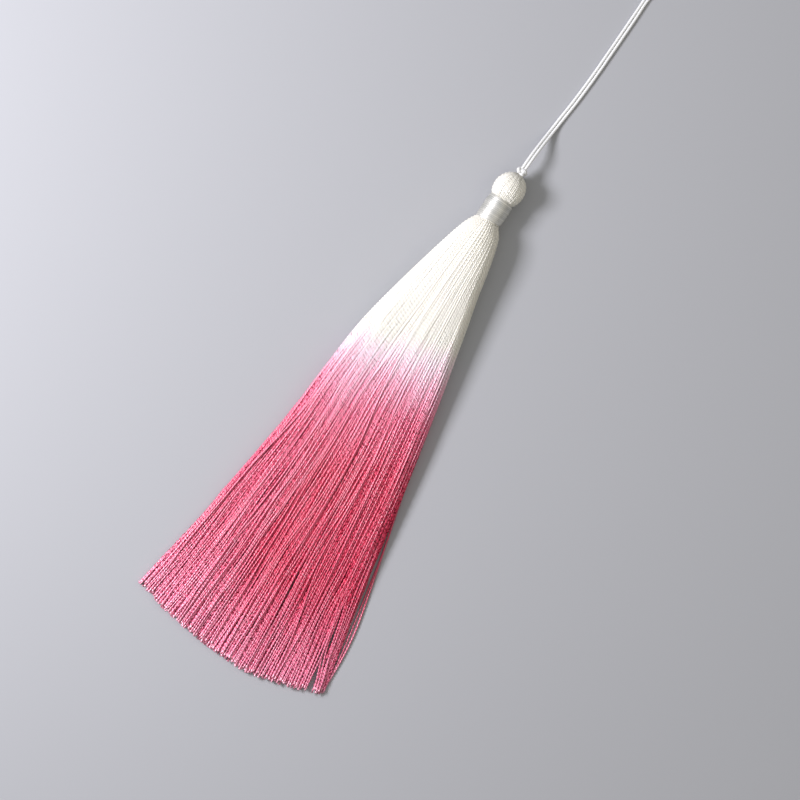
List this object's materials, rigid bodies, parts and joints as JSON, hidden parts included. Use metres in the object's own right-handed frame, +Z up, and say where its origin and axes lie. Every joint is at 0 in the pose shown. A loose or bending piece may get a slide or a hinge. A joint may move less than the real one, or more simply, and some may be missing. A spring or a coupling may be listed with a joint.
{
  "type": "silk tassel",
  "caption": "Dip-dyed silk tassel lying on its side: round thread-covered head, wound neck, fanned fringe of twisted threads and a thin looped hanging cord.",
  "frame": {"origin": "on the surface the tassel lies on, under the middle of the box round the tassel without its hanging cord", "axes": "+Y runs along the tassel from the fringe towards the head, +X to its right seen from above with the head up, +Z up from the surface"},
  "size_m": [0.057, 0.2156, 0.0089],
  "materials": {
    "ivory_thread": "lustrous twisted silk-like thread, ivory white",
    "white_floss": "smooth glossy untwisted floss, wound tight, white",
    "dip_dyed_thread": "lustrous twisted silk-like thread, ivory at the top, dipped in peony pink",
    "white_cord": "thin white cord with a soft sheen"
  },
  "bodies": {
    "root": {"head": "ivory_thread", "neck_binding": "white_floss", "skirt": "dip_dyed_thread", "cord_knot": "white_cord", "hanging_cord": "white_cord"}
  },
  "joints": []
}
